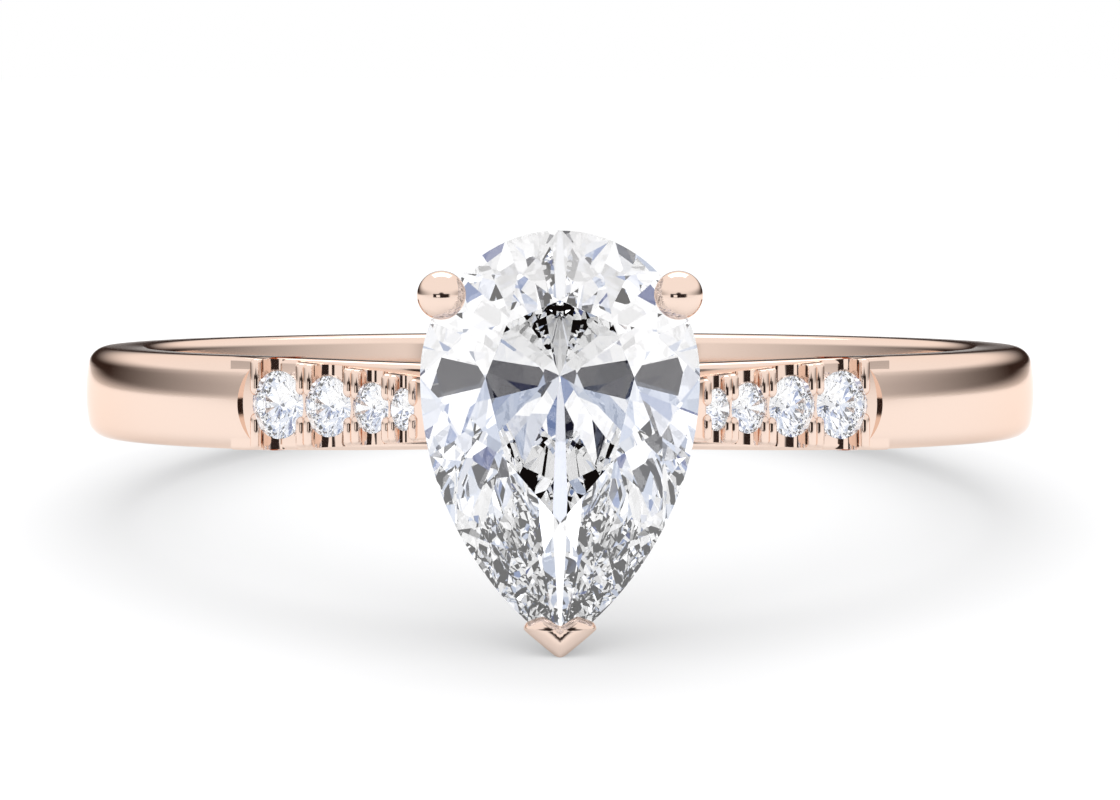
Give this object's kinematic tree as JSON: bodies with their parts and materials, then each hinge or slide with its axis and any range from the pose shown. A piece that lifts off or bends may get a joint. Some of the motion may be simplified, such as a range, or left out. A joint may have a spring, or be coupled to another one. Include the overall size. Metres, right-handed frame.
{
  "type": "engagement ring",
  "caption": "Rose gold engagement ring with a pear-cut diamond in a claw basket and cathedral shoulders set with graduated round diamonds.",
  "frame": {"origin": "centre of the finger bore, midway across the band's width", "axes": "+Z along the finger axis, away from the centre stone's point; -Y out through the centre stone's table; +X to the wearer's side"},
  "size_m": [0.0192, 0.022, 0.0081],
  "materials": {
    "rose_gold": "polished",
    "diamond": "polished facets"
  },
  "bodies": {
    "root": {"shank": "rose_gold", "gallery_rail": "rose_gold", "base_rail": "rose_gold", "claw_left": "rose_gold", "claw_right": "rose_gold", "v_claw": "rose_gold", "centre_stone": "diamond", "accent_stone_left_1": "diamond", "accent_stone_left_2": "diamond", "accent_stone_left_3": "diamond", "accent_stone_left_4": "diamond", "accent_stone_right_1": "diamond", "accent_stone_right_2": "diamond", "accent_stone_right_3": "diamond", "accent_stone_right_4": "diamond"}
  },
  "joints": []
}
